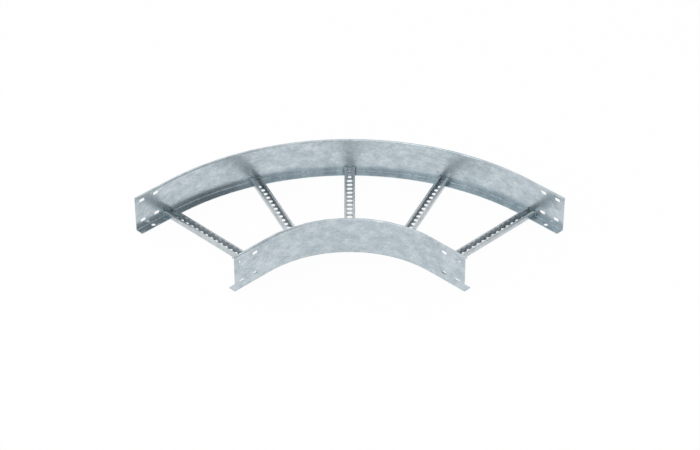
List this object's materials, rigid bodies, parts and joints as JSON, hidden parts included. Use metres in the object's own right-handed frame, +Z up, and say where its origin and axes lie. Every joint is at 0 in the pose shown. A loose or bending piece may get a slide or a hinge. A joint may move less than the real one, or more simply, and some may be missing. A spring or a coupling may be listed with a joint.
{
  "type": "cable ladder bend",
  "caption": "Flat cable ladder bend that turns a run through a right angle: folded side rails on concentric arcs with slotted straight ends, joined by perforated C rungs.",
  "frame": {"origin": "middle of the bend's plan box, on the plane that its bottom flanges rest on", "axes": "+Z up. One straight end runs towards -Y and the other towards -X, and the arc's centre is on the -X -Y side"},
  "size_m": [0.833, 0.833, 0.11],
  "materials": {
    "galvanised_rail": "hot-dip galvanised, mottled satin",
    "galvanised_rung": "hot-dip galvanised, satin",
    "galvanised_weld": "hot-dip galvanised, rippled"
  },
  "bodies": {
    "root": {"outer_rail": "galvanised_rail", "inner_rail": "galvanised_rail", "rung_1": "galvanised_rung", "rung_2": "galvanised_rung", "rung_3": "galvanised_rung", "rung_4": "galvanised_rung", "rung_5": "galvanised_rung", "welds_rung_1": "galvanised_weld", "welds_rung_2": "galvanised_weld", "welds_rung_3": "galvanised_weld", "welds_rung_4": "galvanised_weld", "welds_rung_5": "galvanised_weld"}
  },
  "joints": []
}
